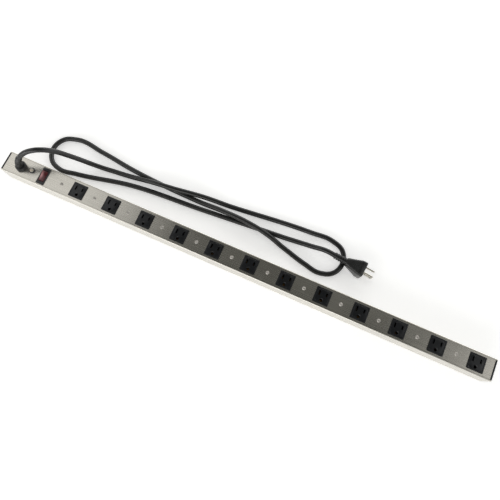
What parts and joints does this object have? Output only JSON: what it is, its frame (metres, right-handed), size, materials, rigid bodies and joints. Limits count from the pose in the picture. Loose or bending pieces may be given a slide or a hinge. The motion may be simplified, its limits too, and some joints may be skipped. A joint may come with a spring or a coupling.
{
  "type": "rack power strip",
  "caption": "Long metal-cased power strip with a row of grounded outlets, lighted rocker switch, breaker reset button and a looped supply cord with plug.",
  "frame": {"origin": "on the back face, at the middle of the strip's length and width", "axes": "+X along the strip away from the cord, +Y across it towards the side where the cord lies, +Z out of the front plate"},
  "size_m": [0.914, 0.1315, 0.0841],
  "materials": {
    "housing_metal": "satin brushed, clear coat",
    "cap_plastic": "fine grain",
    "rivet_metal": "satin",
    "outlet_plastic": "moulded, low sheen",
    "carrier_plastic": "moulded",
    "brass_strip": "rolled",
    "switch_plastic": "moulded",
    "rocker_red": "translucent, lit",
    "lamp_glass": "clear",
    "collar_metal": "blackened",
    "button_ivory": "moulded",
    "plated_steel": "zinc plated",
    "bushing_nylon": "moulded nylon",
    "cord_vinyl": "soft vinyl, low sheen",
    "blade_metal": "nickel plated",
    "sleeve_red": "moulded vinyl",
    "wire_black": "insulated",
    "wire_white": "insulated",
    "wire_green": "insulated"
  },
  "bodies": {
    "housing": {"channel": "housing_metal", "front_plate": "housing_metal", "end_cap_left": "cap_plastic", "end_cap_right": "cap_plastic", "end_cap_screws": "plated_steel", "plate_rivets": "rivet_metal", "mount_nuts": "plated_steel", "outlet_01": "outlet_plastic", "outlet_02": "outlet_plastic", "outlet_03": "outlet_plastic", "outlet_04": "outlet_plastic", "outlet_05": "outlet_plastic", "outlet_06": "outlet_plastic", "outlet_07": "outlet_plastic", "outlet_08": "outlet_plastic", "outlet_09": "outlet_plastic", "outlet_10": "outlet_plastic", "outlet_11": "outlet_plastic", "outlet_12": "outlet_plastic", "bus_carrier": "carrier_plastic", "line_bus": "brass_strip", "neutral_bus": "brass_strip", "ground_bus": "brass_strip", "switch_housing": "switch_plastic", "switch_terminals": "plated_steel", "switch_lamp": "lamp_glass", "breaker_case": "switch_plastic", "breaker_cover": "carrier_plastic", "breaker_nuts": "collar_metal", "breaker_bimetal": "brass_strip", "breaker_terminals": "plated_steel", "cord_bushing": "bushing_nylon", "bushing_locknut": "bushing_nylon", "cord_boot": "cord_vinyl", "ground_stud": "plated_steel", "ground_lugs": "plated_steel", "terminal_sleeves": "sleeve_red", "wire_line_in": "wire_black", "wire_line_link": "wire_black", "wire_line_bus": "wire_black", "wire_neutral": "wire_white", "wire_ground": "wire_green", "wire_earth_bus": "wire_green", "wire_lamp": "wire_white", "cord": "cord_vinyl", "plug_body": "cord_vinyl", "plug_strain_relief": "cord_vinyl", "plug_blades": "blade_metal", "plug_ground_pin": "blade_metal"},
    "rocker": {"rocker": "rocker_red", "rocker_plunger": "plated_steel"},
    "lever": {"contact_lever": "brass_strip"},
    "reset_button": {"breaker_button": "button_ivory", "breaker_spring": "plated_steel"}
  },
  "joints": [
    {"name": "rocker_tilt", "type": "hinge", "parent": "housing", "child": "rocker", "pos_m": [-0.378, 0, 0.0365], "axis": [1, 0, 0], "range_deg": [-18, 0]},
    {"name": "lever_tilt", "type": "hinge", "parent": "housing", "child": "lever", "pos_m": [-0.378, 0, 0.0242], "axis": [1, 0, 0], "range_deg": [0, 12]},
    {"name": "button_press", "type": "slide", "parent": "housing", "child": "reset_button", "axis": [0, 0, -1], "range_m": [0, 0.0025], "stiffness_N_per_m": 300, "springref_m": -0.004}
  ],
  "couplings": [
    {"joint": "lever_tilt", "follows": "rocker_tilt", "ratio": -0.6666}
  ]
}
